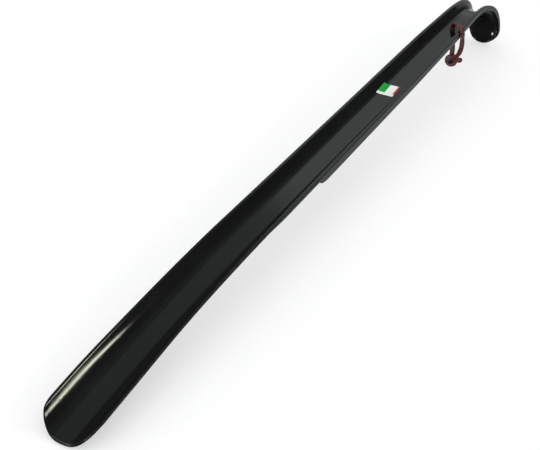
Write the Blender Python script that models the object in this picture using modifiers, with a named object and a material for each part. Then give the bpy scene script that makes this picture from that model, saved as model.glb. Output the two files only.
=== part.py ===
"""Long shoehorn: a one-piece gutter-shaped moulding with a hooked end, a leather hanging thong and a label.

Everything is drawn in the strip's own frame: the handle runs along +Y from the blade's tip, its rims
lie at Z = 0 and its hollow face looks up along +Z. The empty "rest_pose" then tips the whole object
so that it lies on Z = 0 on the blade's front edge and the hook's end, centred on the origin.
"""

import math

import bmesh
import bpy
from mathutils import Matrix, Vector

# Lengths are in metres, and "along" is measured along the strip from the blade's tip.
STRIP_LENGTH = 0.6930
BLADE_BEND_LENGTH = 0.2225  # the blade bends back over this length
BLADE_BEND_ANGLE = math.radians(7.8)
HOOK_START = 0.5814
HOOK_RAMP = 0.1024  # the hook's bend tightens over this length
HOOK_RADIUS = 0.0284
HOOK_ANGLE = math.radians(107.3)

HALF_WIDTH = (
    (0.000, 0.0210),
    (0.040, 0.0210),
    (0.110, 0.0197),
    (0.180, 0.0189),
    (0.400, 0.0168),
    (0.530, 0.0158),
    (0.580, 0.0141),
    (0.612, 0.0130),
    (0.650, 0.0141),
    (0.693, 0.0155),
)
GUTTER_DEPTH = (
    (0.000, 0.0098),
    (0.150, 0.0096),
    (0.300, 0.0084),
    (0.560, 0.0082),
    (0.632, 0.0082),
    (0.693, 0.0026),
)
WALL_POWER = ((0.000, 1.9), (0.120, 2.0), (0.260, 3.0), (0.580, 3.0), (0.693, 2.0))
RIM_WIDTH = ((0.000, 0.0016), (0.160, 0.0018), (0.300, 0.0030), (0.600, 0.0030), (0.693, 0.0018))
RIM_EDGE = (  # the rim's height at its outer edge, without the skirt
    (0.000, 0.0009),
    (0.205, 0.0009),
    (0.245, 0.0030),
    (0.693, 0.0030),
)
SKIRT_DEPTH = (
    (0.290, 0.0076),
    (0.450, 0.0068),
    (0.520, 0.0054),
    (0.580, 0.0048),
    (0.650, 0.0046),
    (0.693, 0.0030),
)
SKIRT_START = 0.2955
SKIRT_END = 0.6800
SKIRT_CORNER = 0.0130  # radius of the skirt's lower corner at its start

FLOOR_FLAT = 0.0050  # half width of the flat strip down the middle of the gutter
WALL_THICKNESS = 0.0024
SKIRT_THICKNESS = 0.0019
TIP_LENGTH = 0.0217
TIP_POWER = 2.2
END_LENGTH = 0.0158
END_POWER = 2.0
BLUNT_HALF_WIDTH = 0.0045  # the tip and the hook's end are cut straight over this half width

HOLE_PLACE = (0.0, 0.5735)  # across and along
HOLE_RADIUS = 0.0023

LABEL_PLACE = (-0.0019, 0.4487)  # across and along
LABEL_TURN = math.radians(3)
LABEL_WIDTH = 0.0142
LABEL_LENGTH = 0.0172
LABEL_THICKNESS = 0.0002
CLEARANCE = 0.0003  # between pieces that touch

LACE_RADIUS = 0.0012
# The lace's route: up from the knot, through the hole, over the right-hand rim and down to the knot.
LACE_ROUTE = (
    (0.0042, 0.5666, -0.0295),
    (0.0038, 0.5684, -0.0240),
    (0.0024, 0.5704, -0.0170),
    (0.0007, 0.5726, -0.0122),
    (0.0000, 0.5735, -0.0082),
    (0.0008, 0.5731, -0.0042),
    (0.0032, 0.5708, -0.0008),
    (0.0068, 0.5672, 0.0014),
    (0.0109, 0.5630, 0.0024),
    (0.0146, 0.5590, 0.0020),
    (0.0163, 0.5573, -0.0010),
    (0.0167, 0.5567, -0.0052),
    (0.0168, 0.5568, -0.0105),
    (0.0161, 0.5574, -0.0160),
    (0.0143, 0.5588, -0.0213),
    (0.0115, 0.5614, -0.0262),
    (0.0085, 0.5644, -0.0306),
)
LACE_STEP = 0.0030
KNOT_CENTRE = (0.0046, 0.5653, -0.0346)
KNOT_RADII = (0.0049, 0.0040, 0.0047)
TAILS = {
    "thong_tail_front": ((0.0095, 0.5674, -0.0334), (0.0115, 0.5686, -0.0339), (0.0136, 0.5696, -0.0340)),
    "thong_tail_back": ((0.0086, 0.5692, -0.0352), (0.0106, 0.5706, -0.0356), (0.0124, 0.5715, -0.0356)),
}
RIM_CROSSING = (0.0146, 0.5590, 0.0010)  # where the lace bears on the rim


def smooth_curve(table, at):
    """The value at a place on a smooth curve through the table's points, without overshoot."""
    places, values = zip(*table)
    if at <= places[0]:
        return values[0]
    if at >= places[-1]:
        return values[-1]
    steps = [b - a for a, b in zip(places, places[1:])]
    rises = [(b - a) / step for a, b, step in zip(values, values[1:], steps)]
    slopes = [0.0] * len(values)
    for k in range(1, len(values) - 1):
        if rises[k - 1] * rises[k] > 0:
            slopes[k] = 2 * rises[k - 1] * rises[k] / (rises[k - 1] + rises[k])
    k = max(i for i, place in enumerate(places[:-1]) if place <= at)
    t = (at - places[k]) / steps[k]
    return (
        values[k] * (1 + 2 * t) * (1 - t) ** 2
        + slopes[k] * steps[k] * t * (1 - t) ** 2
        + values[k + 1] * t * t * (3 - 2 * t)
        + slopes[k + 1] * steps[k] * t * t * (t - 1)
    )


def bend(along):
    """The strip's slope against the handle: the blade falls away towards its tip, and the hook curls down."""
    if along < BLADE_BEND_LENGTH:
        return BLADE_BEND_ANGLE * (1 - along / BLADE_BEND_LENGTH)
    past = max(along - HOOK_START, 0.0)
    if past < HOOK_RAMP:
        return -past * past / (2 * HOOK_RADIUS * HOOK_RAMP)
    return -min(HOOK_RAMP / (2 * HOOK_RADIUS) + (past - HOOK_RAMP) / HOOK_RADIUS, HOOK_ANGLE)


def rim_line(stations):
    """The middle of the rims' plane at each station. The handle's part lies on the Y axis."""
    bend_radius = BLADE_BEND_LENGTH / BLADE_BEND_ANGLE
    tip_y = BLADE_BEND_LENGTH - bend_radius * math.sin(BLADE_BEND_ANGLE)
    tip_z = -bend_radius * (1 - math.cos(BLADE_BEND_ANGLE))
    step = 0.0005
    places, at, place = [], 0.0, Vector((0, tip_y, tip_z))
    for station in stations:
        while at < station - 1e-9:
            length = min(step, station - at)
            slope = bend(at + length / 2)
            place = place + Vector((0, math.cos(slope), math.sin(slope))) * length
            at += length
        places.append(place)
    return places


def blunted(distance, length, power, full):
    """The half width at a distance from an end, rounded over that length and cut straight at the end."""
    if distance >= length:
        return full
    reach = length / (1 - (BLUNT_HALF_WIDTH / full) ** power) ** (1 / power)
    return full * (1 - ((length - distance) / reach) ** power) ** (1 / power)


def cut_half_width(along):
    full = smooth_curve(HALF_WIDTH, along)
    tip = blunted(along, TIP_LENGTH, TIP_POWER, full)
    return min(tip, blunted(STRIP_LENGTH - along, END_LENGTH, END_POWER, full))


def gutter_height(across, along, half_width, depth):
    """A gutter's surface: flat in the middle, and rising to zero at that half width."""
    rise = max(abs(across) - FLOOR_FLAT, 0.0) / (half_width - FLOOR_FLAT)
    return -depth * (1 - rise ** smooth_curve(WALL_POWER, along))


def hollow_height(across, along):
    inner = smooth_curve(HALF_WIDTH, along) - smooth_curve(RIM_WIDTH, along)
    return gutter_height(across, along, inner, smooth_curve(GUTTER_DEPTH, along))


def back_height(across, along):
    outer = smooth_curve(HALF_WIDTH, along) - smooth_curve(RIM_WIDTH, along) + WALL_THICKNESS
    return gutter_height(across, along, outer, smooth_curve(GUTTER_DEPTH, along) + WALL_THICKNESS)


def skirt_share(along):
    """How much of its depth the skirt has: none on the blade, a round corner, then all of it."""
    start = min(max((along - SKIRT_START) / SKIRT_CORNER, 0.0), 1.0)
    end = min(max((STRIP_LENGTH - along) / (STRIP_LENGTH - SKIRT_END), 0.0), 1.0)
    return math.sqrt(1 - (1 - start) ** 2) * end


def half_section(along):
    """The section's right-hand half as (across, height), from the hollow's floor round to the back."""
    width = cut_half_width(along)
    rim = min(smooth_curve(RIM_WIDTH, along), 0.3 * width)
    edge = width - rim
    floor = min(FLOOR_FLAT, 0.6 * edge)
    points = []
    for share in (0, 0.25, 0.45, 0.62, 0.76, 0.88, 1):
        across = floor + (edge - floor) * share
        points.append((across, hollow_height(across, along)))
    top = points[-1][1]
    rounding = 0.3 * rim
    points += [
        (width - rounding, top),
        (width - 0.3 * rounding, top - 0.3 * rounding),
        (width, top - rounding),
    ]
    root = width - min(SKIRT_THICKNESS, 0.35 * width)
    share = skirt_share(along)
    edge_height = smooth_curve(RIM_EDGE, along)
    depth = smooth_curve(SKIRT_DEPTH, along)
    lip = root + 0.3 * (width - root) * (1 - share)
    lip_height = back_height(lip, along)
    points += [
        (width, top - edge_height - share * (depth - edge_height)),
        (lip, min(lip_height, lip_height + share * (-depth - lip_height))),
        (root, back_height(root, along)),
    ]
    floor = min(FLOOR_FLAT, 0.6 * root)
    for part in (0.8, 0.6, 0.4, 0.2, 0):
        across = floor + (root - floor) * part
        points.append((across, back_height(across, along)))
    return points


def body_stations():
    """Where the rings stand: close together at the ends, the skirt's start and the hook."""
    tip = [TIP_LENGTH * part for part in (0, 0.05, 0.14, 0.28, 0.46, 0.7, 1)]
    blade = [0.045, 0.070, 0.095, 0.120, 0.145, 0.170, 0.195, BLADE_BEND_LENGTH, 0.255]
    skirt = [SKIRT_START + SKIRT_CORNER * part for part in (0, 0.08, 0.3, 0.6, 1)]
    handle = [0.350, 0.400, 0.450, 0.500, 0.540, 0.560, HOOK_START]
    hook_end = STRIP_LENGTH - END_LENGTH
    hook = [HOOK_START + (hook_end - HOOK_START) * k / 17 for k in range(1, 18)]
    end = [STRIP_LENGTH - END_LENGTH * part for part in (0.7, 0.46, 0.28, 0.14, 0.05, 0)]
    return tip + blade + skirt + handle + hook + end


def add_object(name, mesh, material, parent):
    piece = bpy.data.objects.new(name, mesh)
    piece.data.materials.append(material)
    shoehorn.objects.link(piece)
    piece.parent = parent
    piece.matrix_parent_inverse = parent.matrix_world.inverted()
    return piece


def make_material(name, colour, roughness):
    material = bpy.data.materials.new(name)
    material.use_nodes = True
    shader = material.node_tree.nodes["Principled BSDF"]
    shader.inputs["Base Color"].default_value = (*colour, 1)
    shader.inputs["Roughness"].default_value = roughness
    shader.inputs["Metallic"].default_value = 0
    return material


def body_mesh():
    """The moulding: rings of vertices round the section, bridged into one closed skin."""
    stations = body_stations()
    mesh = bmesh.new()
    rings = []
    for along, middle in zip(stations, rim_line(stations)):
        slope = bend(along)
        up = Vector((0, -math.sin(slope), math.cos(slope)))
        right = half_section(along)
        outline = right + [(-across, height) for across, height in reversed(right)]
        places = [middle + Vector((across, 0, 0)) + up * height for across, height in outline]
        rings.append([mesh.verts.new(place) for place in places])
    for ring, following in zip(rings, rings[1:]):
        for k in range(len(ring)):
            mesh.faces.new((ring[k - 1], ring[k], following[k], following[k - 1]))
    mesh.faces.new(reversed(rings[0]))
    mesh.faces.new(rings[-1])
    bmesh.ops.triangulate(mesh, faces=[face for face in mesh.faces if len(face.verts) > 4])
    bmesh.ops.recalc_face_normals(mesh, faces=mesh.faces[:])
    data = bpy.data.meshes.new("shoehorn_body")
    mesh.to_mesh(data)
    mesh.free()
    data.shade_smooth()
    data.set_sharp_from_angle(angle=math.radians(35))
    return data


def make_body(parent):
    body = add_object("shoehorn_body", body_mesh(), glossy_black, parent)
    bpy.ops.mesh.primitive_cylinder_add(
        vertices=20,
        radius=HOLE_RADIUS,
        depth=0.02,
        location=(HOLE_PLACE[0], HOLE_PLACE[1], -smooth_curve(GUTTER_DEPTH, HOLE_PLACE[1])),
    )
    cutter = bpy.context.object
    cutter.name = "hole_cutter"
    cutter.display_type = "WIRE"
    cutter.hide_render = True
    for collection in cutter.users_collection:
        collection.objects.unlink(cutter)
    cutters.objects.link(cutter)
    cutter.parent = parent
    cutter.matrix_parent_inverse = parent.matrix_world.inverted()
    cut = body.modifiers.new("thong_hole", "BOOLEAN")
    cut.operation = "DIFFERENCE"
    cut.object = cutter
    return body


def make_label(parent):
    """A label that lies on the gutter's floor and turns up a little with its left-hand wall."""
    columns, rows = 8, 3
    mesh = bmesh.new()
    bmesh.ops.create_grid(mesh, x_segments=columns, y_segments=rows, size=0.5)
    bmesh.ops.scale(mesh, vec=(LABEL_WIDTH, LABEL_LENGTH, 1), verts=mesh.verts[:])
    bmesh.ops.rotate(mesh, cent=(0, 0, 0), matrix=Matrix.Rotation(LABEL_TURN, 3, "Z"), verts=mesh.verts[:])
    for vertex in mesh.verts:
        across = LABEL_PLACE[0] + vertex.co.x
        along = LABEL_PLACE[1] + vertex.co.y
        vertex.co = (across, along, hollow_height(across, along) + CLEARANCE)
    data = bpy.data.meshes.new("handle_label")
    mesh.to_mesh(data)
    mesh.free()
    label = add_object("handle_label", data, printed_film, parent)
    film = label.modifiers.new("film", "SOLIDIFY")
    film.thickness = LABEL_THICKNESS
    film.offset = 1
    return label


def smooth_route(points, step):
    """Points about a step apart on a smooth curve through the route's points."""
    knots = [Vector(point) for point in points]
    knots = [2 * knots[0] - knots[1], *knots, 2 * knots[-1] - knots[-2]]
    fine = []
    for a, b, c, d in zip(knots, knots[1:], knots[2:], knots[3:]):
        for k in range(20):
            t = k / 20
            curve = 2 * b + (c - a) * t + (2 * a - 5 * b + 4 * c - d) * t**2 + (3 * b - a - 3 * c + d) * t**3
            fine.append(curve / 2)
    fine.append(knots[-2])
    lengths = [0.0]
    for a, b in zip(fine, fine[1:]):
        lengths.append(lengths[-1] + (b - a).length)
    count = max(2, round(lengths[-1] / step))
    places = []
    for n in range(count + 1):
        target = lengths[-1] * n / count
        k = min(max(i for i, length in enumerate(lengths) if length <= target + 1e-12), len(fine) - 2)
        share = (target - lengths[k]) / (lengths[k + 1] - lengths[k])
        places.append(fine[k].lerp(fine[k + 1], share))
    return places


def make_lace(name, route, step, parent):
    curve = bpy.data.curves.new(name, "CURVE")
    curve.dimensions = "3D"
    curve.bevel_depth = LACE_RADIUS
    curve.bevel_resolution = 2
    curve.use_fill_caps = True
    places = smooth_route(route, step)
    spline = curve.splines.new("POLY")
    spline.points.add(len(places) - 1)
    for point, place in zip(spline.points, places):
        point.co = (*place, 1)
    return add_object(name, curve, brown_leather, parent)


def make_knot(parent):
    """The knot's outer shape, an egg."""
    mesh = bmesh.new()
    bmesh.ops.create_icosphere(mesh, subdivisions=2, radius=1)
    bmesh.ops.scale(mesh, vec=KNOT_RADII, verts=mesh.verts[:])
    bmesh.ops.translate(mesh, vec=KNOT_CENTRE, verts=mesh.verts[:])
    data = bpy.data.meshes.new("thong_knot")
    mesh.to_mesh(data)
    mesh.free()
    data.shade_smooth()
    return add_object("thong_knot", data, brown_leather, parent)


def make_empty(name, matrix, parent=None):
    empty = bpy.data.objects.new(name, None)
    shoehorn.objects.link(empty)
    empty.parent = parent
    empty.matrix_world = matrix
    bpy.context.view_layer.update()
    return empty


def pivot_matrix():
    """The thong swings about the line from its hole to the place where it bears on the rim."""
    hole = Vector((*HOLE_PLACE, -smooth_curve(GUTTER_DEPTH, HOLE_PLACE[1]) - WALL_THICKNESS / 2))
    axis = (Vector(RIM_CROSSING) - hole).normalized()
    return Matrix.Translation(hole) @ axis.to_track_quat("X", "Z").to_matrix().to_4x4()


def lowest(points, pitch):
    return min(point.y * math.sin(pitch) + point.z * math.cos(pitch) for point in points)


def rest_matrix(points):
    """Tips the object until the blade's edge and the hook's end are level, and centres it on the origin."""
    halfway = STRIP_LENGTH / 2
    blade = [point for point in points if point.y < halfway]
    hook = [point for point in points if point.y >= halfway]
    low, high = math.radians(-10), math.radians(10)
    for _ in range(40):
        pitch = (low + high) / 2
        if lowest(hook, pitch) < lowest(blade, pitch):
            low = pitch
        else:
            high = pitch
    turned = [Matrix.Rotation(pitch, 4, "X") @ point for point in points]
    middle = (min(point.y for point in turned) + max(point.y for point in turned)) / 2
    floor = min(point.z for point in turned)
    return Matrix.Translation((0, -middle, -floor)) @ Matrix.Rotation(pitch, 4, "X")


for old in list(bpy.data.objects):
    bpy.data.objects.remove(old, do_unlink=True)

shoehorn = bpy.data.collections.new("long_shoehorn")
cutters = bpy.data.collections.new("cutters")
bpy.context.scene.collection.children.link(shoehorn)
bpy.context.scene.collection.children.link(cutters)

glossy_black = make_material("glossy_black", (0.008, 0.008, 0.009), 0.08)
printed_film = make_material("printed_film", (0.85, 0.86, 0.84), 0.35)
brown_leather = make_material("brown_leather", (0.075, 0.022, 0.018), 0.6)

rest_pose = make_empty("rest_pose", Matrix.Identity(4))
thong_pivot = make_empty("thong_pivot", pivot_matrix(), rest_pose)
moulding = make_body(rest_pose)
make_label(rest_pose)
make_lace("thong_strand", LACE_ROUTE, LACE_STEP, thong_pivot)
make_knot(thong_pivot)
for tail_name, tail_route in TAILS.items():
    make_lace(tail_name, tail_route, LACE_STEP, thong_pivot)
rest_pose.matrix_world = rest_matrix([vertex.co for vertex in moulding.data.vertices])
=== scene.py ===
"""The looks of the long shoehorn: a polished black moulding, a leather hanging thong and a small label.

The strip's own frame is the one that the part was drawn in: the handle runs along +Y from the blade's tip,
its rims lie at Z = 0 and its hollow looks up. STRIP_TO_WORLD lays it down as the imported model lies.
"""

import math

import bmesh
import bpy
from mathutils import Matrix, Vector


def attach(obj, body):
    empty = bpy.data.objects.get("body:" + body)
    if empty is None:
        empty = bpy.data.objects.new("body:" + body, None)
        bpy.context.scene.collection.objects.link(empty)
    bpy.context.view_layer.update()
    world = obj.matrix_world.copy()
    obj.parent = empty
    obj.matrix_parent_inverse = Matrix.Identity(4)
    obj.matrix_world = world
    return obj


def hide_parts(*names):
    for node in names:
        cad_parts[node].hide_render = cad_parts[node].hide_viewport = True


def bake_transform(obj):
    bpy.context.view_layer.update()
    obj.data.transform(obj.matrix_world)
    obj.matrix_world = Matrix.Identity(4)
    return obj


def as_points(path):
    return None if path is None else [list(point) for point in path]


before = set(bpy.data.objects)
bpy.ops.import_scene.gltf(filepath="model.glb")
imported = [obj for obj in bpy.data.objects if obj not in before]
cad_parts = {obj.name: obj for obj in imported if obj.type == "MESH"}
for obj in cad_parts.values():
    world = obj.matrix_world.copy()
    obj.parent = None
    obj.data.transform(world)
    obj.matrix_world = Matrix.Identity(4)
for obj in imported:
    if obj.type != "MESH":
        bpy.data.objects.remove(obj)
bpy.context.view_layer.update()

# The moulding, in metres, with "along" measured along the strip from the blade's tip.
STRIP_LENGTH = 0.6930
BLADE_BEND_LENGTH = 0.2225
BLADE_BEND_ANGLE = math.radians(7.8)
HOOK_START = 0.5814
HOOK_RAMP = 0.1024
HOOK_RADIUS = 0.0284
HOOK_ANGLE = math.radians(107.3)
HALF_WIDTH = (
    (0.000, 0.0210),
    (0.040, 0.0210),
    (0.110, 0.0197),
    (0.180, 0.0189),
    (0.400, 0.0168),
    (0.530, 0.0158),
    (0.580, 0.0141),
    (0.612, 0.0130),
    (0.650, 0.0141),
    (0.693, 0.0155),
)
GUTTER_DEPTH = (
    (0.000, 0.0098),
    (0.150, 0.0096),
    (0.300, 0.0084),
    (0.560, 0.0082),
    (0.632, 0.0082),
    (0.693, 0.0026),
)
WALL_POWER = ((0.000, 1.9), (0.120, 2.0), (0.260, 3.0), (0.580, 3.0), (0.693, 2.0))
RIM_WIDTH = ((0.000, 0.0016), (0.160, 0.0018), (0.300, 0.0030), (0.600, 0.0030), (0.693, 0.0018))
RIM_EDGE = ((0.000, 0.0009), (0.205, 0.0009), (0.245, 0.0030), (0.693, 0.0030))
SKIRT_DEPTH = (
    (0.290, 0.0076),
    (0.450, 0.0068),
    (0.520, 0.0054),
    (0.580, 0.0048),
    (0.650, 0.0046),
    (0.693, 0.0030),
)
SKIRT_START = 0.2955
SKIRT_END = 0.6800
SKIRT_CORNER = 0.0130
FLOOR_FLAT = 0.0050
WALL_THICKNESS = 0.0024
SKIRT_THICKNESS = 0.0019
SKIRT_SHARE = 0.35  # most of the half width that the skirt may take, near the strip's rounded ends
TIP_LENGTH = 0.0217
TIP_POWER = 2.2
END_LENGTH = 0.0158
END_POWER = 2.0
END_GAP = 0.00002  # the first and last rings stand this far inside the strip's ends
RIM_SOFTNESS = 0.00045  # rounding between the gutter's wall and the rim's flat top
EDGE_RADIUS = 0.0005
EDGE_SHARE = 0.42  # most of an edge's height that its rounding may take
END_SHARE = 0.47  # how much of the wall's thickness is rounded at the strip's two ends
ROOT_RADIUS = 0.0008
WEAR_REACH = 0.0014  # how far in from its corners the moulding is rubbed
SHARP_ANGLE = 50  # edges that turn by more degrees than this are shaded sharp

HOLE_PLACE = (0.0, 0.5735)
HOLE_RADIUS = 0.0023
HOLE_FLARE = 0.00035  # rounding of the hole's edges
HOLE_SIDES = 64
HOLE_CUTTER_LIP = (0.0002, 0.001)  # how far the cutter goes on past the wall, outwards and up

LABEL_PLACE = (-0.0019, 0.4487)
LABEL_TURN = math.radians(3)
LABEL_WIDTH = 0.0142
LABEL_LENGTH = 0.0172
LABEL_THICKNESS = 0.00015
LABEL_LIFT = 0.00005
LABEL_CORNER = 0.0003

LACE_WIDTH = 0.0044
LACE_THICKNESS = 0.0017
# The direction of the lace's width where it is free, and on the rim.
LACE_FLAT = ((0.87, 0.50, 0.0), (0.45, 0.89, 0.0))
LACE_STEPS = 170
LACE_HELD = 12  # steps past the rim before the lace may twist again
LACE_TWIST = 22  # steps that it twists over
LACE_SQUEEZE = 0.0004  # how much narrower the lace is inside the hole
LACE_SQUEEZE_REACH = 0.003  # how far from the hole it narrows
LACE_RIPPLES = ((0.00007, 0.90), (0.00005, 0.37))  # its uneven width: size, and radians for each step
LACE_PALE_EDGE = 0.3  # share of its half width that is made paler at its edges, partly as wear and partly as a painted highlight
LACE_ROUTE = (
    (0.0031, 0.5679, -0.0372),
    (0.0034, 0.5680, -0.0335),
    (0.0039, 0.5679, -0.0295),
    (0.0038, 0.5684, -0.0240),
    (0.0024, 0.5704, -0.0170),
    (0.0007, 0.5726, -0.0122),
    (0.0000, 0.5735, -0.0082),
    (0.0008, 0.5731, -0.0042),
    (0.0032, 0.5708, -0.0008),
    (0.0068, 0.5672, 0.0014),
    (0.0109, 0.5630, 0.0024),
    (0.0146, 0.5590, 0.0020),
    (0.0163, 0.5573, -0.0010),
    (0.0167, 0.5567, -0.0052),
    (0.0168, 0.5568, -0.0105),
    (0.0161, 0.5574, -0.0160),
    (0.0143, 0.5588, -0.0213),
    (0.0115, 0.5614, -0.0262),
    (0.0085, 0.5644, -0.0306),
    (0.0062, 0.5656, -0.0340),
)
RIM_CROSSING = (0.0146, 0.5590, 0.0010)
KNOT_CENTRE = (0.0046, 0.5653, -0.0346)
KNOT_TURN = math.radians(30)
KNOT_SLIT = math.radians(42)  # how the slit in the knot's middle slopes, seen from the front
KNOT_RING = (0.00365, 0.00035)  # radius of the ring's middle line, and how much longer it is along the slit
KNOT_WIDTH = (0.0039, 0.0011)  # width of the ring's band, and how much narrower it is at the slit's ends
KNOT_THICKNESS = 0.0026
KNOT_LEAN = (0.0007, 0.6)  # how far the ring leans out of its plane, and where round it that starts
KNOT_WRAPS = (math.radians(62), math.radians(8))  # where the lace is wound round the ring
KNOT_WRAP_SIZE = (0.0030, 0.0014)
KNOT_WRAP_ROOM = 0.0003  # between the ring and the middle of a wrap
KNOT_WRAP_SLANT = 0.0005
KNOT_CORE = (0.0044, 0.0014)  # the lace's end that goes through the ring, seen at the bottom of the slit
KNOT_CORE_DEPTH = 0.0009
# The lace's two cut ends: the piece, the CAD node that it stands for, and its route out of the knot.
TAILS = (
    (
        "lace_tail_front",
        "thong_tail_front",
        ((0.0070, 0.5660, -0.0336), (0.0098, 0.5676, -0.0336), (0.0136, 0.5696, -0.0340)),
    ),
    (
        "lace_tail_back",
        "thong_tail_back",
        ((0.0066, 0.5670, -0.0348), (0.0092, 0.5694, -0.0354), (0.0124, 0.5715, -0.0356)),
    ),
)
TAIL_STEPS = 40
TAIL_NARROWING = 0.95
TAIL_ROUNDING = 0.0014
TAIL_END = 0.00004  # where the rounding stops short of a point

STRIP_TO_WORLD = Matrix.Translation((0, -0.330162, 0.027074)) @ Matrix.Rotation(math.radians(2.605), 4, "X")

# The camera, in the strip's frame. Azimuth 0 looks along +Y.
CAMERA_PLACE = (0.4004, -0.4396, 0.5562)
CAMERA_AZIMUTH = math.radians(30.07)
CAMERA_ELEVATION = math.radians(35.84)
CAMERA_LENS = 90.8

# What the polish mirrors: azimuth from +Y towards +X, elevation, inner and outer radius, all in degrees,
# and radiance.
MIRRORED_PANELS = (
    (-20, 24, 15, 18.5, 0.42),
    (2, 18, 8, 22, 0.30),
    (-42, 50, 11, 24, 0.13),
    (-10, 62, 12, 40, 0.10),
    (-46, 5, 4, 9, 1.6),
    (-12, -6, 6, 16, 0.30),
    (-130, 52, 8, 20, 2.5),
    (112, 38, 8, 20, 0.8),
    (178, 30, 10, 24, 0.7),
    (-100, 30, 8, 20, 0.7),
    (153.4, -20.5, 2.5, 7.0, 22.0),
    (-167, 20.0, 4.0, 12.0, 8.0),
)
# Where the mirrored floor is dark: azimuth, elevation, inner and outer radius in degrees, share left.
MIRRORED_SHADOWS = (
    (-150, -45, 40, 78, 0.12),
    (-25, -42, 16, 32, 0.12),
    (0, -90, 35, 60, 0.15),
)
ROOM_GLOW = 0.045
MIRRORED_FLOOR = 0.44
FLOOR_REACH = 4.0  # half the floor's width
FLOOR_GAP = 0.0001  # keeps the floor just below the faces that rest on it


def smooth_curve(table, at):
    """The value at a place on a smooth curve through the table's points, without overshoot."""
    places, values = zip(*table)
    if at <= places[0]:
        return values[0]
    if at >= places[-1]:
        return values[-1]
    steps = [b - a for a, b in zip(places, places[1:])]
    rises = [(b - a) / step for a, b, step in zip(values, values[1:], steps)]
    slopes = [0.0] * len(values)
    for k in range(1, len(values) - 1):
        if rises[k - 1] * rises[k] > 0:
            slopes[k] = 2 * rises[k - 1] * rises[k] / (rises[k - 1] + rises[k])
    k = max(i for i, place in enumerate(places[:-1]) if place <= at)
    t = (at - places[k]) / steps[k]
    return (
        values[k] * (1 + 2 * t) * (1 - t) ** 2
        + slopes[k] * steps[k] * t * (1 - t) ** 2
        + values[k + 1] * t * t * (3 - 2 * t)
        + slopes[k + 1] * steps[k] * t * t * (t - 1)
    )


def bend(along):
    """The strip's slope against the handle: the blade falls away to its tip, and the hook curls down."""
    if along < BLADE_BEND_LENGTH:
        return BLADE_BEND_ANGLE * (1 - along / BLADE_BEND_LENGTH)
    past = max(along - HOOK_START, 0.0)
    if past < HOOK_RAMP:
        return -past * past / (2 * HOOK_RADIUS * HOOK_RAMP)
    return -min(HOOK_RAMP / (2 * HOOK_RADIUS) + (past - HOOK_RAMP) / HOOK_RADIUS, HOOK_ANGLE)


def rim_line(stations):
    """The middle of the rims' plane at each station. The handle's part lies on the Y axis."""
    bend_radius = BLADE_BEND_LENGTH / BLADE_BEND_ANGLE
    tip_y = BLADE_BEND_LENGTH - bend_radius * math.sin(BLADE_BEND_ANGLE)
    tip_z = -bend_radius * (1 - math.cos(BLADE_BEND_ANGLE))
    step = 0.0005
    places, at, place = [], 0.0, Vector((0, tip_y, tip_z))
    for station in stations:
        while at < station - 1e-9:
            length = min(step, station - at)
            slope = bend(at + length / 2)
            place = place + Vector((0, math.cos(slope), math.sin(slope))) * length
            at += length
        places.append(place)
    return places


def rounded(distance, length, power, full):
    """The half width at a distance from an end that is rounded over that length."""
    if distance >= length:
        return full
    return full * (1 - ((length - distance) / length) ** power) ** (1 / power)


def cut_half_width(along):
    full = smooth_curve(HALF_WIDTH, along)
    tip = rounded(along, TIP_LENGTH, TIP_POWER, full)
    return min(tip, rounded(STRIP_LENGTH - along, END_LENGTH, END_POWER, full))


def edge_distance(across, along):
    """How far a place is from the strip's outline, near enough for rounding its edge."""
    full = smooth_curve(HALF_WIDTH, along)
    across = abs(across)
    for distance, length, power in (
        (along, TIP_LENGTH, TIP_POWER),
        (STRIP_LENGTH - along, END_LENGTH, END_POWER),
    ):
        if distance < length:
            left = length - distance
            inside = 1 - (across / full) ** power - (left / length) ** power
            slope = math.hypot(across ** (power - 1) / full**power, left ** (power - 1) / length**power)
            return max(inside, 0.0) / (power * slope)
    return full - across


def fillet(distance, radius):
    """How far a rounded edge falls at a distance inside it."""
    if distance >= radius:
        return 0.0
    return radius - math.sqrt(max(radius**2 - (radius - distance) ** 2, 0.0))


def end_share(along):
    """How near a place is to an end of the strip: 1 at the end, and 0 past the end's rounding."""
    return max(1 - along / TIP_LENGTH, 1 - (STRIP_LENGTH - along) / END_LENGTH, 0.0)


def gutter_height(across, along, half_width, depth):
    """A gutter's surface: flat in the middle, and rising to zero at that half width."""
    rise = max(abs(across) - FLOOR_FLAT, 0.0) / (half_width - FLOOR_FLAT)
    return -depth * (1 - rise ** smooth_curve(WALL_POWER, along))


def hollow_height(across, along):
    """The upper surface before its edge is rounded: the gutter, and the rim's flat top."""
    inner = smooth_curve(HALF_WIDTH, along) - smooth_curve(RIM_WIDTH, along)
    height = gutter_height(across, along, inner, smooth_curve(GUTTER_DEPTH, along))
    return (height - math.sqrt(height**2 + RIM_SOFTNESS**2)) / 2


def back_height(across, along):
    outer = smooth_curve(HALF_WIDTH, along) - smooth_curve(RIM_WIDTH, along) + WALL_THICKNESS
    return gutter_height(across, along, outer, smooth_curve(GUTTER_DEPTH, along) + WALL_THICKNESS)


def skirt_share(along):
    """How much of its depth the skirt has: none on the blade, a round corner, then all of it."""
    start = min(max((along - SKIRT_START) / SKIRT_CORNER, 0.0), 1.0)
    end = min(max((STRIP_LENGTH - along) / (STRIP_LENGTH - SKIRT_END), 0.0), 1.0)
    return math.sqrt(1 - (1 - start) ** 2) * end


def skirt_root(width):
    """Where the skirt's inner face stands, across a strip of that half width."""
    return width - min(SKIRT_THICKNESS, SKIRT_SHARE * width)


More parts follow.
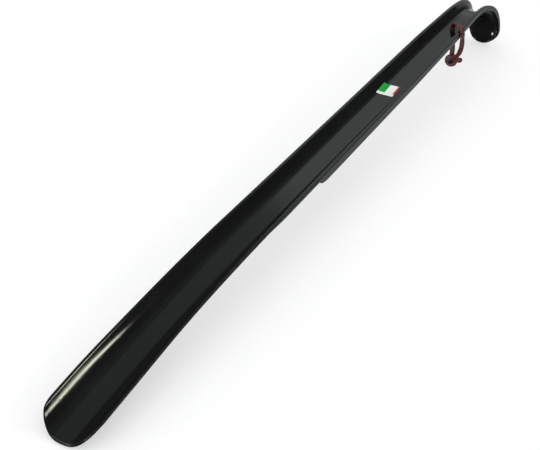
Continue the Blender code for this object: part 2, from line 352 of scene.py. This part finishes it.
def underside_height(across, along):
    """The lower surface before its edge is rounded: the back of the gutter, and the skirt's lower lip."""
    width = cut_half_width(along)
    root = skirt_root(width)
    if across <= root:
        return back_height(across, along) - skirt_share(along) * fillet(root - across, ROOT_RADIUS)
    share = skirt_share(along)
    edge_height = smooth_curve(RIM_EDGE, along)
    edge_height += end_share(along) * max(WALL_THICKNESS - edge_height, 0.0)
    depth = smooth_curve(SKIRT_DEPTH, along)
    lip = root + 0.3 * (width - root) * (1 - share)
    lip_height = back_height(lip, along)
    lip_height = min(lip_height, lip_height + share * (-depth - lip_height))
    edge = hollow_height(width, along) - edge_height - share * (depth - edge_height)
    if across <= lip:
        root_height = back_height(root, along)
        return root_height + (lip_height - root_height) * (across - root) / max(lip - root, 1e-9)
    height = lip_height + (edge - lip_height) * (across - lip) / (width - lip)
    return height + share * fillet(across - lip, EDGE_RADIUS)


def spread(count, power=1.0):
    """Shares from 0 to 1 that crowd towards 0 as the power rises."""
    return [(k / count) ** power for k in range(count + 1)]


def evenly(start, end, count):
    """That many even steps from the start, which is left out, to the end."""
    return [start + (end - start) * k / count for k in range(1, count + 1)]


def upper_places(width, along):
    """Places across the upper surface from the middle to the edge, crowded where it turns."""
    rim = min(smooth_curve(RIM_WIDTH, along), 0.3 * width)
    edge = min(EDGE_RADIUS, 0.1 * width)
    inner = width - 1.8 * rim
    wall = [inner * share for share in spread(16)]
    turn = evenly(inner, width - edge, 10)
    rounding = [width - edge * share for share in reversed(spread(6, 1.8)[:-1])]
    return wall + turn + rounding


def lower_places(width, along):
    """Places across the lower surface from the edge to the middle."""
    root = skirt_root(width)
    edge = min(EDGE_RADIUS, 0.1 * width)
    nudge = 0.002 * width
    outer = [width - edge * share for share in spread(6, 1.8)]
    lip = evenly(width - edge, root + nudge, 7)
    corner = min(ROOT_RADIUS, 0.1 * width)
    inner = [root - nudge - corner * share for share in spread(6, 1.6)]
    back = evenly(inner[-1], 0.0, 16)
    return outer + lip + inner + back


def ring(along):
    """The section's right-hand half as (across, height), from the hollow's middle round to the back's."""
    width = cut_half_width(along)
    edge_height = hollow_height(width, along) - underside_height(width, along)
    tight = min(EDGE_RADIUS, EDGE_SHARE * edge_height)
    radius = tight + (END_SHARE * WALL_THICKNESS - tight) * end_share(along)
    points = []
    for across in upper_places(width, along):
        fall = fillet(edge_distance(across, along), radius)
        points.append((across, hollow_height(across, along) - fall))
    lower = []
    for across in lower_places(width, along):
        rise = fillet(edge_distance(across, along), radius)
        lower.append((across, underside_height(across, along) + rise))
    top, bottom = points[-1][1], lower[0][1]
    side = [(width, top + (bottom - top) * k / 5) for k in range(1, 5)]
    return points + side + lower


def body_stations():
    """Where the rings stand: crowded at both ends, at the skirt's start and round the hook."""
    tip = [END_GAP + (TIP_LENGTH - END_GAP) * share for share in spread(34, 2.0)]
    blade = evenly(TIP_LENGTH, SKIRT_START, 60)
    corner = [SKIRT_START + SKIRT_CORNER * share for share in spread(16, 2.0)[1:]]
    handle = evenly(SKIRT_START + SKIRT_CORNER, HOOK_START, 44)
    hook = evenly(HOOK_START, STRIP_LENGTH - END_LENGTH, 70)
    rounding = END_LENGTH - END_GAP
    end = [STRIP_LENGTH - END_GAP - rounding * share for share in reversed(spread(30, 2.0)[:-1])]
    return tip + blade + corner + handle + hook + end


def make_piece(name, mesh, body, cad_nodes):
    """Turns a bmesh in the strip's frame into a smooth piece, which rides on a body if one is given."""
    bmesh.ops.recalc_face_normals(mesh, faces=mesh.faces[:])
    data = bpy.data.meshes.new(name)
    mesh.to_mesh(data)
    mesh.free()
    data.transform(STRIP_TO_WORLD)
    data.shade_smooth()
    piece = bpy.data.objects.new(name, data)
    bpy.context.scene.collection.objects.link(piece)
    if body:
        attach(piece, body)
    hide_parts(*cad_nodes)
    return piece


def bridge(mesh, rings, closed=True):
    """Faces between neighbouring rings of vertices."""
    for first, second in zip(rings, rings[1:]):
        for k in range(0 if closed else 1, len(first)):
            mesh.faces.new((first[k - 1], first[k], second[k], second[k - 1]))


def hole_cutter():
    """A cutter for the thong's hole that flares at both ends, which rounds the hole's edges."""
    top = hollow_height(0, HOLE_PLACE[1])
    bottom = top - WALL_THICKNESS

    def flared(level, outward):
        """The cutter's radius and height up to one face of the wall, and just past it."""
        points = []
        for angle in [math.pi / 2 * share for share in spread(6)]:
            radius = HOLE_RADIUS + HOLE_FLARE * (1 - math.cos(angle))
            points.append((radius, level + outward * HOLE_FLARE * (math.sin(angle) - 1)))
        points.append((points[-1][0] + HOLE_CUTTER_LIP[0], level + outward * HOLE_CUTTER_LIP[1]))
        return points

    mesh = bmesh.new()
    rings = []
    for radius, height in [*reversed(flared(bottom, -1)), *flared(top, 1)]:
        line = []
        for k in range(HOLE_SIDES):
            angle = 2 * math.pi * k / HOLE_SIDES
            across = HOLE_PLACE[0] + radius * math.cos(angle)
            along = HOLE_PLACE[1] + radius * math.sin(angle)
            line.append(mesh.verts.new((across, along, height)))
        rings.append(line)
    bridge(mesh, rings)
    mesh.faces.new(reversed(rings[0]))
    mesh.faces.new(rings[-1])
    bmesh.ops.recalc_face_normals(mesh, faces=mesh.faces[:])
    data = bpy.data.meshes.new("hole_cutter")
    mesh.to_mesh(data)
    mesh.free()
    data.transform(STRIP_TO_WORLD)
    cutter = bpy.data.objects.new("hole_cutter", data)
    bpy.context.scene.collection.objects.link(cutter)
    return cutter


def cut(piece, cutter):
    """Cuts the cutter out of the piece for good, and removes the cutter."""
    step = piece.modifiers.new("cut", "BOOLEAN")
    step.operation = "DIFFERENCE"
    step.solver = "EXACT"
    step.object = cutter
    bpy.context.view_layer.update()
    shape = bpy.data.meshes.new_from_object(piece.evaluated_get(bpy.context.evaluated_depsgraph_get()))
    piece.modifiers.clear()
    piece.data = shape
    bpy.data.objects.remove(cutter, do_unlink=True)


def make_moulding(material):
    stations = body_stations()
    mesh = bmesh.new()
    wear_and_highlight = mesh.verts.layers.float.new("wear_and_highlight")
    rings = []
    for along, middle in zip(stations, rim_line(stations)):
        slope = bend(along)
        up = Vector((0, -math.sin(slope), math.cos(slope)))
        right = ring(along)
        left = [(-across, height) for across, height in reversed(right[1:-1])]
        side = [height for across, height in right if edge_distance(across, along) < 1e-6]
        line = []
        for across, height in right + left:
            inside = edge_distance(across, along)
            corner = min(max(side) - height, height - min(side)) if inside < 1e-6 else 0.0
            vertex = mesh.verts.new(middle + Vector((across, 0, 0)) + up * height)
            # On the moulding this marks wear only: its rubbed corners.
            vertex[wear_and_highlight] = max(0.0, 1 - (inside + corner) / WEAR_REACH)
            line.append(vertex)
        rings.append(line)
    bridge(mesh, rings)
    mesh.faces.new(reversed(rings[0]))
    mesh.faces.new(rings[-1])
    moulding = make_piece("moulding", mesh, "shoehorn", ["shoehorn_body"])
    cut(moulding, hole_cutter())
    moulding.data.materials.clear()
    moulding.data.materials.append(material)
    moulding.data.set_sharp_from_angle(angle=math.radians(SHARP_ANGLE))


def smooth_route(points, count):
    """That many even steps along a smooth curve through the route's points."""
    knots = [Vector(point) for point in points]
    knots = [2 * knots[0] - knots[1], *knots, 2 * knots[-1] - knots[-2]]
    fine = []
    for a, b, c, d in zip(knots, knots[1:], knots[2:], knots[3:]):
        for t in spread(24)[:-1]:
            curve = 2 * b + (c - a) * t + (2 * a - 5 * b + 4 * c - d) * t**2
            curve += (3 * b - a - 3 * c + d) * t**3
            fine.append(curve / 2)
    fine.append(knots[-2])
    lengths = [0.0]
    for a, b in zip(fine, fine[1:]):
        lengths.append(lengths[-1] + (b - a).length)
    places = []
    for n in range(count + 1):
        target = lengths[-1] * n / count
        k = min(max(i for i, length in enumerate(lengths) if length <= target + 1e-12), len(fine) - 2)
        share = (target - lengths[k]) / (lengths[k + 1] - lengths[k])
        places.append(fine[k].lerp(fine[k + 1], share))
    return places


def lace_section(width, thickness, segments=24):
    """A flat lace's section: a rectangle with well-rounded corners, as (across, through)."""
    points = []
    for k in range(segments):
        angle = 2 * math.pi * (k + 0.5) / segments
        c, s = math.cos(angle), math.sin(angle)
        points.append((
            width / 2 * math.copysign(abs(c) ** 0.5, c),
            thickness / 2 * math.copysign(abs(s) ** 0.6, s),
        ))
    return points


# Leaves the lace without painted shade.
def no_painted_shade(side):
    return 0.0


def sweep_lace(mesh, places, sizes, flat, loop=False, painted_shade=no_painted_shade):
    """Sweeps a lace along places. flat(k, tangent) gives the direction of its width at each place.

    The last argument gives how far painted shade darkens the lace, for a side that runs from -1 at one edge
    to 1 at the other.
    """
    wear_and_highlight = mesh.verts.layers.float.get("wear_and_highlight") or mesh.verts.layers.float.new("wear_and_highlight")
    # A layer for painted shade, which darkens the lace where it lies in shade.
    dark = mesh.verts.layers.float.get("painted_shade") or mesh.verts.layers.float.new("painted_shade")
    rings = []
    count = len(places)
    for k, place in enumerate(places):
        before = places[(k - 1) % count] if loop else places[max(k - 1, 0)]
        after = places[(k + 1) % count] if loop else places[min(k + 1, count - 1)]
        tangent = (after - before).normalized()
        across = flat(k, tangent)
        across = (across - across.dot(tangent) * tangent).normalized()
        through = tangent.cross(across)
        width, thickness = sizes[k]
        line = []
        for x, z in lace_section(width, thickness):
            vertex = mesh.verts.new(place + across * x + through * z)
            # Paler towards both edges, partly as wear and partly as a painted highlight.
            vertex[wear_and_highlight] = max(0.0, 2 * abs(x) / width - (1 - LACE_PALE_EDGE)) / LACE_PALE_EDGE
            vertex[dark] = painted_shade(2 * x / width)
            line.append(vertex)
        rings.append(line)
    bridge(mesh, rings)
    if loop:
        bridge(mesh, [rings[-1], rings[0]])
    else:
        mesh.faces.new(rings[0])
        mesh.faces.new(rings[-1])


def make_strand(material):
    """The lace from the knot through the hole, over the rim and back, with its middle line in the world."""
    places = smooth_route(LACE_ROUTE, LACE_STEPS)
    hole = Vector((*HOLE_PLACE, hollow_height(0, HOLE_PLACE[1]) - WALL_THICKNESS / 2))

    def nearest(target):
        return min(range(len(places)), key=lambda k: (places[k] - target).length)

    at_hole, at_rim = nearest(hole), nearest(Vector(RIM_CROSSING))

    def flat(k, tangent):
        rising = (k - at_hole) / (at_rim - at_hole)
        falling = 1 - (k - at_rim - LACE_HELD) / LACE_TWIST
        return Vector(LACE_FLAT[0]).lerp(Vector(LACE_FLAT[1]), min(max(min(rising, falling), 0.0), 1.0))

    sizes = []
    for k, place in enumerate(places):
        squeeze = LACE_SQUEEZE * math.exp(-((place - hole).length / LACE_SQUEEZE_REACH) ** 2)
        ripple = sum(size * math.sin(turn * k) for size, turn in LACE_RIPPLES)
        sizes.append((LACE_WIDTH - squeeze + ripple, LACE_THICKNESS + 0.3 * squeeze))
    mesh = bmesh.new()
    sweep_lace(mesh, places, sizes, flat)
    strand = make_piece("lace_strand", mesh, None, ["thong_strand"])
    strand.data.materials.append(material)
    return strand, [STRIP_TO_WORLD @ place for place in places]


def bend_at_hinge(strand):
    """Bakes the lace's placing into its mesh, where its arc lies in the hole and over the rim."""
    hole = STRIP_TO_WORLD @ Vector((*HOLE_PLACE, hollow_height(0, HOLE_PLACE[1])))
    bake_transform(strand)


def make_knot(material):
    """An overhand knot pulled tight: a thick ring round a slit, and the lace wound round the ring."""
    centre, turn = Vector(KNOT_CENTRE), Matrix.Rotation(KNOT_TURN, 3, "Z")
    through = turn @ Vector((0, 1, 0))
    count = 90

    def outward(angle):
        return turn @ Vector((math.cos(angle), 0, math.sin(angle)))

    def ring_place(angle):
        stretch = math.cos(2 * (angle - KNOT_SLIT))
        reach = KNOT_RING[0] + KNOT_RING[1] * stretch
        return centre + outward(angle) * reach + through * KNOT_LEAN[0] * math.sin(angle - KNOT_LEAN[1])

    def ring_width(angle):
        return KNOT_WIDTH[0] - KNOT_WIDTH[1] * math.cos(2 * (angle - KNOT_SLIT))

    def slit_painted_shade(side):
        """Painted shade: none on the outer part of the ring's band, and dark along its inner edge, where
        the slit lies in shade.
        """
        return min(max(-1.6 * side - 0.4, 0.0), 1.0)

    mesh = bmesh.new()
    angles = [2 * math.pi * k / count for k in range(count)]
    places = [ring_place(angle) for angle in angles]
    sizes = [(ring_width(angle), KNOT_THICKNESS) for angle in angles]
    sweep_lace(mesh, places, sizes, lambda k, tangent: outward(angles[k]), loop=True, painted_shade=slit_painted_shade)
    for wrap in KNOT_WRAPS:
        along = (ring_place(wrap + 0.1) - ring_place(wrap - 0.1)).normalized()
        half_width = ring_width(wrap) / 2 + KNOT_WRAP_ROOM
        half_depth = KNOT_THICKNESS / 2 + KNOT_WRAP_ROOM
        places = [
            ring_place(wrap)
            + outward(wrap) * half_width * math.cos(angle)
            + through * half_depth * math.sin(angle)
            + along * KNOT_WRAP_SLANT * math.sin(angle)
            for angle in angles
        ]
        sweep_lace(mesh, places, [KNOT_WRAP_SIZE] * count, lambda k, tangent: along, loop=True)
    slit = outward(KNOT_SLIT)
    across = slit.cross(through)
    # The lace's end in the slit is painted dark all over: painted shade at the bottom of the slit.
    core = [centre + through * KNOT_CORE_DEPTH + slit * KNOT_RING[0] * share / 6 for share in range(-6, 7)]
    sweep_lace(mesh, core, [KNOT_CORE] * len(core), lambda k, tangent: across, painted_shade=lambda side: 1.0)
    knot = make_piece("lace_knot", mesh, "thong", ["thong_knot"])
    knot.data.materials.append(material)
    return knot


def make_tail(name, node, route, material):
    """A cut end of the lace, a little narrower than the rest, and blunted by wear."""
    places = smooth_route(route, TAIL_STEPS)
    length = (places[-1] - places[0]).length
    sizes = []
    for k in range(len(places)):
        left = max((1 - k / (len(places) - 1)) * length, TAIL_END)
        blunt = math.sqrt(1 - max(1 - left / TAIL_ROUNDING, 0.0) ** 2)
        sizes.append((TAIL_NARROWING * LACE_WIDTH * blunt, LACE_THICKNESS * blunt**0.7))
    mesh = bmesh.new()
    sweep_lace(mesh, places, sizes, lambda k, tangent: Vector((0.2, 0.2, 1)))
    tail = make_piece(name, mesh, "thong", [node])
    tail.data.materials.append(material)
    return tail


def make_label(material):
    """A film stuck to the gutter's floor, with rounded corners."""
    columns, rows = 36, 40
    half_width, half_length = LABEL_WIDTH / 2, LABEL_LENGTH / 2
    mesh = bmesh.new()
    print_across = mesh.verts.layers.float.new("print_across")
    print_along = mesh.verts.layers.float.new("print_along")
    layers = []
    for lift in (LABEL_LIFT + LABEL_THICKNESS, LABEL_LIFT):
        grid = []
        for row in range(rows + 1):
            v = -1 + 2 * row / rows
            line = []
            for column in range(columns + 1):
                u = -1 + 2 * column / columns
                short = max(half_length * abs(v) - (half_length - LABEL_CORNER), 0.0)
                reach = half_width - LABEL_CORNER + math.sqrt(max(LABEL_CORNER**2 - short**2, 0.0))
                x, y = u * reach, v * half_length
                across = LABEL_PLACE[0] + x * math.cos(LABEL_TURN) - y * math.sin(LABEL_TURN)
                along = LABEL_PLACE[1] + x * math.sin(LABEL_TURN) + y * math.cos(LABEL_TURN)
                vertex = mesh.verts.new((across, along, hollow_height(across, along) + lift))
                vertex[print_across] = (u + 1) / 2
                vertex[print_along] = (v + 1) / 2
                line.append(vertex)
            grid.append(line)
        layers.append(grid)
    for grid in layers:
        bridge(mesh, grid, closed=False)
    top, bottom = layers
    border = [(0, c) for c in range(columns + 1)] + [(r, columns) for r in range(1, rows + 1)]
    border += [(rows, c) for c in range(columns - 1, -1, -1)] + [(r, 0) for r in range(rows - 1, 0, -1)]
    for (r0, c0), (r1, c1) in zip(border, border[1:] + border[:1]):
        mesh.faces.new((top[r0][c0], top[r1][c1], bottom[r1][c1], bottom[r0][c0]))
    label = make_piece("striped_label", mesh, "shoehorn", ["handle_label"])
    label.data.materials.append(material)
    label.data.set_sharp_from_angle(angle=math.radians(SHARP_ANGLE))


def join(tree, source, socket):
    """Links a socket to the source, or sets it when the source is a plain value."""
    if isinstance(source, bpy.types.NodeSocket):
        tree.links.new(source, socket)
    else:
        socket.default_value = source


def maths(tree, operation, first, second):
    node = tree.nodes.new("ShaderNodeMath")
    node.operation = operation
    join(tree, first, node.inputs[0])
    join(tree, second, node.inputs[1])
    return node.outputs[0]


def ramp(tree, value, low, high, start=0.0, end=1.0):
    """Start to end as the value goes from low to high, smoothly, and level outside."""
    node = tree.nodes.new("ShaderNodeMapRange")
    node.interpolation_type = "SMOOTHSTEP"
    for socket, number in zip(list(node.inputs)[:5], (value, low, high, start, end)):
        join(tree, number, socket)
    return node.outputs["Result"]


class Look:
    """A material being built: short ways to add and join its shader nodes."""

    def __init__(self, name):
        self.material = bpy.data.materials.new(name)
        self.material.use_nodes = True
        self.tree = self.material.node_tree
        self.shader = self.tree.nodes["Principled BSDF"]
        self.place = self.tree.nodes.new("ShaderNodeTexCoord").outputs["Object"]

    def join(self, source, socket):
        join(self.tree, source, socket)

    def attribute(self, name):
        node = self.tree.nodes.new("ShaderNodeAttribute")
        node.attribute_name = name
        return node.outputs["Fac"]

    def stretched(self, scale):
        node = self.tree.nodes.new("ShaderNodeMapping")
        node.inputs["Scale"].default_value = scale
        self.join(self.place, node.inputs["Vector"])
        return node.outputs["Vector"]

    def noise(self, scale, detail=2.0, rough=0.5, place=None):
        node = self.tree.nodes.new("ShaderNodeTexNoise")
        node.inputs["Scale"].default_value = scale
        node.inputs["Detail"].default_value = detail
        node.inputs["Roughness"].default_value = rough
        self.join(place or self.place, node.inputs["Vector"])
        return node.outputs["Fac"]

    def cells(self, scale):
        node = self.tree.nodes.new("ShaderNodeTexVoronoi")
        node.feature = "SMOOTH_F1"
        node.inputs["Scale"].default_value = scale
        self.join(self.place, node.inputs["Vector"])
        return node.outputs["Distance"]

    def ramp(self, value, low, high, start=0.0, end=1.0):
        return ramp(self.tree, value, low, high, start, end)

    def maths(self, operation, first, second):
        return maths(self.tree, operation, first, second)

    def blend(self, share, first, second):
        """The first colour where the share is 0 and the second where it is 1."""
        node = self.tree.nodes.new("ShaderNodeMix")
        node.data_type = "RGBA"
        self.join(share, node.inputs["Factor"])
        self.join(first, node.inputs[6])
        self.join(second, node.inputs[7])
        return node.outputs[2]

    def bump(self, height, distance, below=None):
        node = self.tree.nodes.new("ShaderNodeBump")
        node.inputs["Strength"].default_value = 1.0
        node.inputs["Distance"].default_value = distance
        self.join(height, node.inputs["Height"])
        if below is not None:
            self.join(below, node.inputs["Normal"])
        return node.outputs["Normal"]

    def finish(self, colour, roughness, normal):
        self.join(colour, self.shader.inputs["Base Color"])
        self.join(roughness, self.shader.inputs["Roughness"])
        self.join(normal, self.shader.inputs["Normal"])
        return self.material


def polished_plastic():
    """Glossy black moulding: faint orange peel, handling haze, hairline scratches and rubbed edges."""
    look = Look("polished_plastic")
    haze = look.noise(24, 4.0)
    hairlines = look.noise(1.0, 1.0, place=look.stretched((1300, 26, 1300)))
    apart = look.maths("ABSOLUTE", look.maths("SUBTRACT", hairlines, 0.5), 0.0)
    patches = look.ramp(look.noise(60, 2.0), 0.52, 0.66)
    lines = look.maths("MULTIPLY", look.ramp(apart, 0.004, 0.012, 1.0, 0.0), patches)
    rubbed = look.maths("MULTIPLY", look.attribute("wear_and_highlight"), look.ramp(look.noise(130, 4.0), 0.46, 0.70))
    colour = look.blend(haze, (0.0045, 0.0047, 0.0050, 1), (0.0085, 0.0088, 0.0090, 1))
    colour = look.blend(look.maths("MULTIPLY", rubbed, 0.5), colour, (0.026, 0.026, 0.027, 1))
    roughness = look.ramp(haze, 0.30, 0.72, 0.07, 0.125)
    roughness = look.maths("ADD", roughness, look.maths("MULTIPLY", lines, 0.10))
    roughness = look.maths("ADD", roughness, look.maths("MULTIPLY", rubbed, 0.10))
    normal = look.bump(look.noise(190, 1.0), 0.000012)
    normal = look.bump(look.maths("SUBTRACT", 0.0, lines), 0.000004, normal)
    look.shader.inputs["IOR"].default_value = 1.5
    return look.finish(colour, roughness, normal)


def leather():
    """Dark red-brown lace: fine grain, uneven dye, edges made paler as wear and as a painted highlight, and
    painted shade inside the knot.
    """
    look = Look("leather")
    dye = look.noise(420, 4.0)
    grain = look.cells(1900)
    creases = look.noise(1500, 3.0)
    # Paler edges: partly wear, partly a painted highlight along the lace's edges.
    wear_and_highlight = look.maths("MULTIPLY", look.attribute("wear_and_highlight"), look.ramp(look.noise(700, 3.0), 0.38, 0.66))
    colour = look.blend(look.ramp(dye, 0.34, 0.66), (0.038, 0.0080, 0.0080, 1), (0.130, 0.034, 0.030, 1))
    colour = look.blend(look.maths("MULTIPLY", wear_and_highlight, 0.75), colour, (0.26, 0.105, 0.082, 1))
    colour = look.blend(look.ramp(grain, 0.0, 0.25, 0.35, 0.0), colour, (0.020, 0.004, 0.004, 1))
    # Painted shade: the lace turns near-black where it lies in shade inside the knot.
    painted_shade = look.maths("MULTIPLY", look.attribute("painted_shade"), 0.9)
    colour = look.blend(painted_shade, colour, (0.006, 0.002, 0.002, 1))
    roughness = look.ramp(creases, 0.3, 0.7, 0.34, 0.54)
    normal = look.bump(grain, 0.00010)
    normal = look.bump(creases, 0.00004, normal)
    return look.finish(colour, roughness, normal)


def film():
    """Satin film printed in plain colour blocks, with a white margin towards the blade."""
    look = Look("film")
    across, along = look.attribute("print_across"), look.attribute("print_along")
    printed = look.maths("GREATER_THAN", along, 0.22)
    first = look.maths("MULTIPLY", printed, look.maths("LESS_THAN", across, 0.42))
    last = look.maths("MULTIPLY", printed, look.maths("GREATER_THAN", across, 0.90))
    ink = look.noise(900, 3.0)
    white = look.blend(ink, (0.80, 0.81, 0.78, 1), (0.88, 0.88, 0.86, 1))
    green = look.blend(ink, (0.002, 0.32, 0.030, 1), (0.004, 0.42, 0.050, 1))
    red = look.blend(ink, (0.50, 0.022, 0.034, 1), (0.62, 0.034, 0.046, 1))
    colour = look.blend(last, look.blend(first, white, green), red)
    roughness = look.ramp(look.noise(150, 4.0), 0.3, 0.7, 0.40, 0.55)
    look.shader.inputs["Specular IOR Level"].default_value = 0.2
    normal = look.bump(look.noise(260, 2.0), 0.00002)
    return look.finish(colour, roughness, normal)


def add_camera():
    data = bpy.data.cameras.new("camera")
    data.lens = CAMERA_LENS
    data.sensor_width = 36
    data.clip_start = 0.01
    camera = bpy.data.objects.new("camera", data)
    bpy.context.scene.collection.objects.link(camera)
    sin_azimuth, cos_azimuth = math.sin(CAMERA_AZIMUTH), math.cos(CAMERA_AZIMUTH)
    level = math.cos(CAMERA_ELEVATION)
    back = Vector((sin_azimuth * level, -cos_azimuth * level, math.sin(CAMERA_ELEVATION)))
    right = Vector((cos_azimuth, sin_azimuth, 0))
    turn = Matrix((right, back.cross(right), back)).transposed().to_4x4()
    camera.matrix_world = STRIP_TO_WORLD @ Matrix.Translation(CAMERA_PLACE) @ turn
    bpy.context.scene.camera = camera


def aim(item, place, target, roll):
    """Puts a light in place with its face turned to the target, and rolled about that line."""
    facing = (Vector(target) - Vector(place)).to_track_quat("-Z", "Y").to_matrix().to_4x4()
    item.matrix_world = Matrix.Translation(place) @ facing @ Matrix.Rotation(roll, 4, "Z")


def add_panel(name, place, target, roll, width, height, radiance, colour):
    """A softbox that is brightest in its middle and fades to nothing at its edges."""
    data = bpy.data.lights.new(name, "AREA")
    data.shape = "RECTANGLE"
    data.size = width
    data.size_y = height
    data.energy = radiance * math.pi * width * height  # the power that gives a flat panel this radiance
    data.color = colour
    data.use_nodes = True
    tree = data.node_tree
    where = tree.nodes.new("ShaderNodeNewGeometry").outputs["Parametric"]
    split = tree.nodes.new("ShaderNodeSeparateXYZ")
    tree.links.new(where, split.inputs[0])
    fades = [
        maths(tree, "MULTIPLY", split.outputs[axis], maths(tree, "SUBTRACT", 1.0, split.outputs[axis]))
        for axis in "XY"
    ]
    # Each fade is a quarter in the panel's middle, so their product is scaled back to 1 there.
    strength = maths(tree, "MULTIPLY", maths(tree, "MULTIPLY", *fades), 16.0)
    tree.links.new(strength, tree.nodes["Emission"].inputs["Strength"])
    light = bpy.data.objects.new(name, data)
    bpy.context.scene.collection.objects.link(light)
    aim(light, place, target, roll)
    light.visible_camera = False


def sky_direction(azimuth, elevation):
    """The direction at an azimuth from +Y towards +X and an elevation, both in degrees."""
    azimuth, elevation = math.radians(azimuth), math.radians(elevation)
    return Vector((
        math.sin(azimuth) * math.cos(elevation),
        math.cos(azimuth) * math.cos(elevation),
        math.sin(elevation),
    ))


def add_world():
    """Even white light for the scene, and a dim room with a few soft panels for the polish to mirror."""
    world = bpy.data.worlds.new("studio")
    bpy.context.scene.world = world
    world.use_nodes = True
    tree = world.node_tree
    nodes, links = tree.nodes, tree.links
    nodes.clear()
    direction = nodes.new("ShaderNodeTexCoord").outputs["Generated"]

    def towards(centre):
        node = nodes.new("ShaderNodeVectorMath")
        node.operation = "DOT_PRODUCT"
        links.new(direction, node.inputs[0])
        node.inputs[1].default_value = centre
        return node.outputs["Value"]

    def patch(azimuth, elevation, inner, outer, outside, inside):
        cosines = [math.cos(math.radians(angle)) for angle in (outer, inner)]
        return ramp(tree, towards(sky_direction(azimuth, elevation)), *cosines, outside, inside)

    total = ramp(tree, towards((0, 0, 1)), -0.30, 0.00, MIRRORED_FLOOR, ROOM_GLOW)
    for azimuth, elevation, inner, outer, share in MIRRORED_SHADOWS:
        total = maths(tree, "MULTIPLY", total, patch(azimuth, elevation, inner, outer, 1.0, share))
    for azimuth, elevation, inner, outer, radiance in MIRRORED_PANELS:
        total = maths(tree, "ADD", total, patch(azimuth, elevation, inner, outer, 0.0, radiance))

    output = nodes.new("ShaderNodeOutputWorld")
    mix = nodes.new("ShaderNodeMixShader")
    room = nodes.new("ShaderNodeBackground")
    room.inputs["Color"].default_value = (0.98, 0.99, 1.0, 1)
    room.inputs["Strength"].default_value = 1.1
    mirrored = nodes.new("ShaderNodeBackground")
    mirrored.inputs["Color"].default_value = (0.95, 0.99, 1.0, 1)
    links.new(total, mirrored.inputs["Strength"])
    links.new(nodes.new("ShaderNodeLightPath").outputs["Is Glossy Ray"], mix.inputs["Fac"])
    links.new(room.outputs["Background"], mix.inputs[1])
    links.new(mirrored.outputs["Background"], mix.inputs[2])
    links.new(mix.outputs["Shader"], output.inputs["Surface"])


def add_studio():
    floor_mesh = bmesh.new()
    bmesh.ops.create_grid(floor_mesh, x_segments=1, y_segments=1, size=FLOOR_REACH)
    data = bpy.data.meshes.new("floor")
    floor_mesh.to_mesh(data)
    floor_mesh.free()
    floor = bpy.data.objects.new("floor", data)
    floor.location.z = -FLOOR_GAP
    floor.visible_glossy = False
    bpy.context.scene.collection.objects.link(floor)
    look = Look("floor_paper")
    look.shader.inputs["Base Color"].default_value = (0.50, 0.50, 0.50, 1)
    look.shader.inputs["Emission Color"].default_value = (1.0, 1.0, 1.0, 1)
    look.shader.inputs["Emission Strength"].default_value = 0.46
    look.shader.inputs["Roughness"].default_value = 0.9
    look.shader.inputs["Specular IOR Level"].default_value = 0.2
    data.materials.append(look.material)
    add_world()
    add_panel(
        "key_panel",
        place=(0.884, 0.207, 0.636),
        target=(-0.016, -0.285, 0.016),
        roll=math.radians(-14),
        width=0.27,
        height=0.115,
        radiance=24.0,
        colour=(0.97, 1.0, 0.80),
    )


bpy.context.scene.view_settings.view_transform = "Standard"
add_camera()
leather_material = leather()
strand, strand_path = make_strand(leather_material)
knot = make_knot(leather_material)
tails = [make_tail(name, node, route, leather_material) for name, node, route in TAILS]
STRIP_TO_WORLD @ Vector((*HOLE_PLACE, hollow_height(0, HOLE_PLACE[1])))
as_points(strand_path[::3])
bend_at_hinge(strand)
make_moulding(polished_plastic())
make_label(film())
add_studio()
